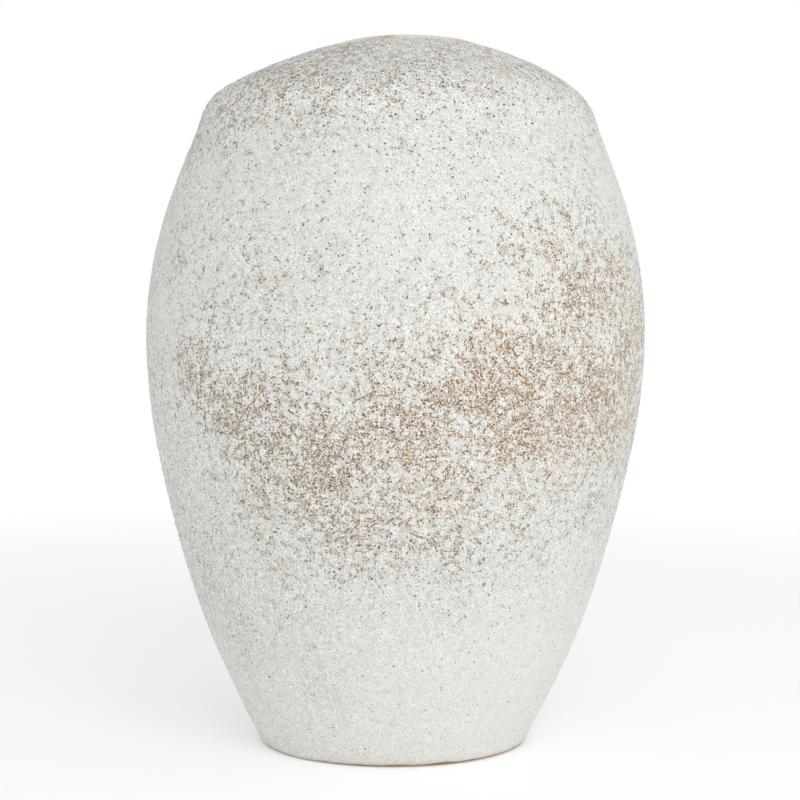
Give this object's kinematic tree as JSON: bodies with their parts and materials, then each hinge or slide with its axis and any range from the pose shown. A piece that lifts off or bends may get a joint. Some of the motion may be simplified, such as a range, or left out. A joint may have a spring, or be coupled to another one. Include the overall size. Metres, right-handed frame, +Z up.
{
  "type": "stoneware vase",
  "caption": "Ovoid free-standing stoneware vase with a rounded shoulder, a low domed top, a small round mouth and a speckled off-white glaze over a brown body.",
  "frame": {"origin": "centre of the object's box on the plane that the foot stands on", "axes": "+Z up through the mouth, +X to the right and -Y towards the viewer of the decorated front"},
  "size_m": [0.2138, 0.2138, 0.3],
  "materials": {
    "bare_clay": "bare fired stoneware, matt, sandy tan",
    "speckled_glaze": "matt beaded off-white glaze breaking to brown and grey specks",
    "liner_glaze": "thin satin cream liner glaze"
  },
  "bodies": {
    "root": {"clay_body": "bare_clay", "outer_glaze": "speckled_glaze", "inner_glaze": "liner_glaze"}
  },
  "joints": []
}
